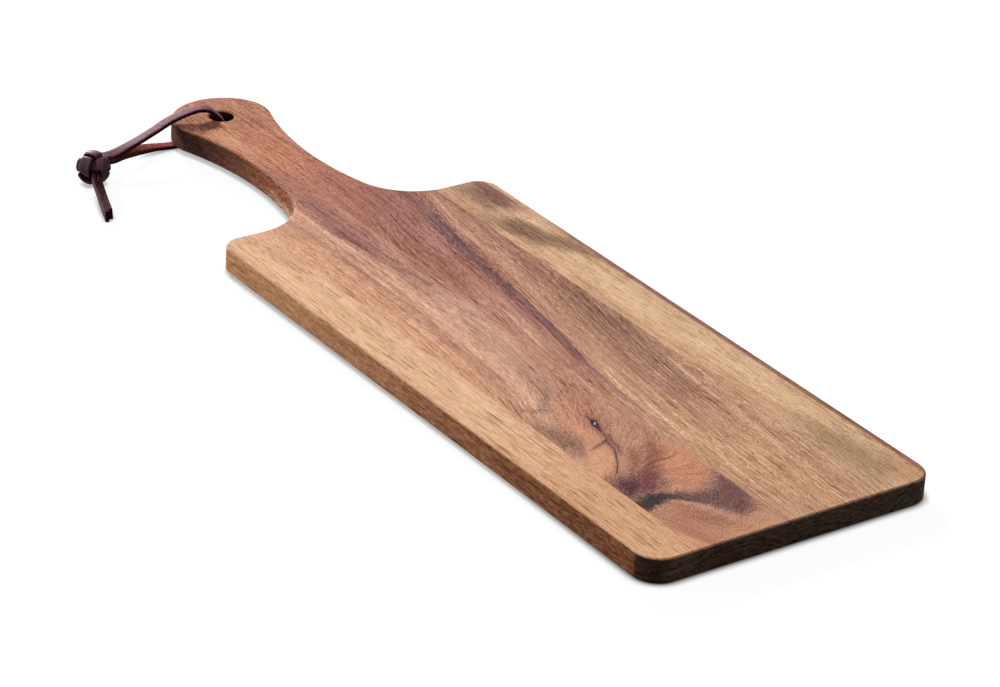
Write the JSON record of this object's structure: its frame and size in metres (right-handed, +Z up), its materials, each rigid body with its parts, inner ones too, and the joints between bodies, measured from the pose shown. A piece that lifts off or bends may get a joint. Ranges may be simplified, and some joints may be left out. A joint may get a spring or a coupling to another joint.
{
  "type": "serving board",
  "caption": "Slim paddle-shaped wooden serving board glued up from edge-joined staves, with a waisted handle, a drilled hanging hole and a flat leather lace closed by a woven knot.",
  "frame": {"origin": "middle of the board's footprint, on the table it lies on; the lace is left out of the footprint", "axes": "+X along the board from the handle to the far end, +Y to the edge away from the knot, +Z up"},
  "size_m": [0.4, 0.1426, 0.0166],
  "materials": {
    "near_stave_wood": "oiled, fine straight grain",
    "knotty_stave_wood": "oiled, strong figure round one knot",
    "streaked_stave_wood": "oiled, dark streaks",
    "pale_stave_wood": "oiled, pale",
    "edge_strip_wood": "oiled, straight grain",
    "lace_leather": "flat cut lace, smooth outside, rough inside, dark cut edges"
  },
  "bodies": {
    "board": {"near_stave": "near_stave_wood", "knotty_stave": "knotty_stave_wood", "streaked_stave": "streaked_stave_wood", "pale_stave": "pale_stave_wood", "edge_strip": "edge_strip_wood"},
    "lace": {"lace_hole_bend": "lace_leather", "lace_over_run": "lace_leather", "lace_under_run": "lace_leather", "lace_over_tail": "lace_leather", "lace_under_tail": "lace_leather", "woven_knot": "lace_leather"}
  },
  "joints": [
    {"name": "loop_swivel", "type": "hinge", "parent": "board", "child": "lace", "pos_m": [-0.181, 0, 0.0068], "axis": [0, 0, 1], "range_deg": [-185, 30]}
  ]
}
